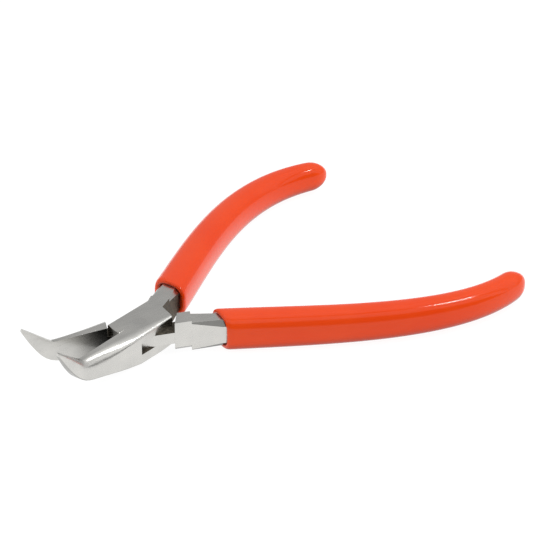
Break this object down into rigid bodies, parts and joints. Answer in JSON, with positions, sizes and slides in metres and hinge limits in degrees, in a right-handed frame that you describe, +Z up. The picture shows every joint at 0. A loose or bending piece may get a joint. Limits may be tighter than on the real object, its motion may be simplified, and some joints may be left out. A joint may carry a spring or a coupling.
{
  "type": "bent nose box joint pliers",
  "caption": "Small steel bent nose pliers with a box joint, upturned tapering jaws and dipped vinyl grips on bowed handles.",
  "frame": {"origin": "on the pivot pin's axis at the outer face of the lower cheek", "axes": "+Z up along the pivot pin, +X from the pin towards the handle ends, +Y towards the handle of the half with the window"},
  "size_m": [0.1216, 0.0874, 0.0138],
  "materials": {
    "steel": "satin ground and lightly polished",
    "pin_steel": "ground flush with the cheeks",
    "vinyl": "glossy dipped vinyl, orange-red"
  },
  "bodies": {
    "box_side": {"box_half": "steel", "pivot_pin": "pin_steel", "box_half_grip": "vinyl"},
    "tongue_side": {"tongue_half": "steel", "tongue_half_grip": "vinyl"}
  },
  "joints": [
    {"name": "jaw_pivot", "type": "hinge", "parent": "box_side", "child": "tongue_side", "pos_m": [0, 0, 0.0041], "axis": [0, 0, -1], "range_deg": [-25.8, 24]}
  ]
}
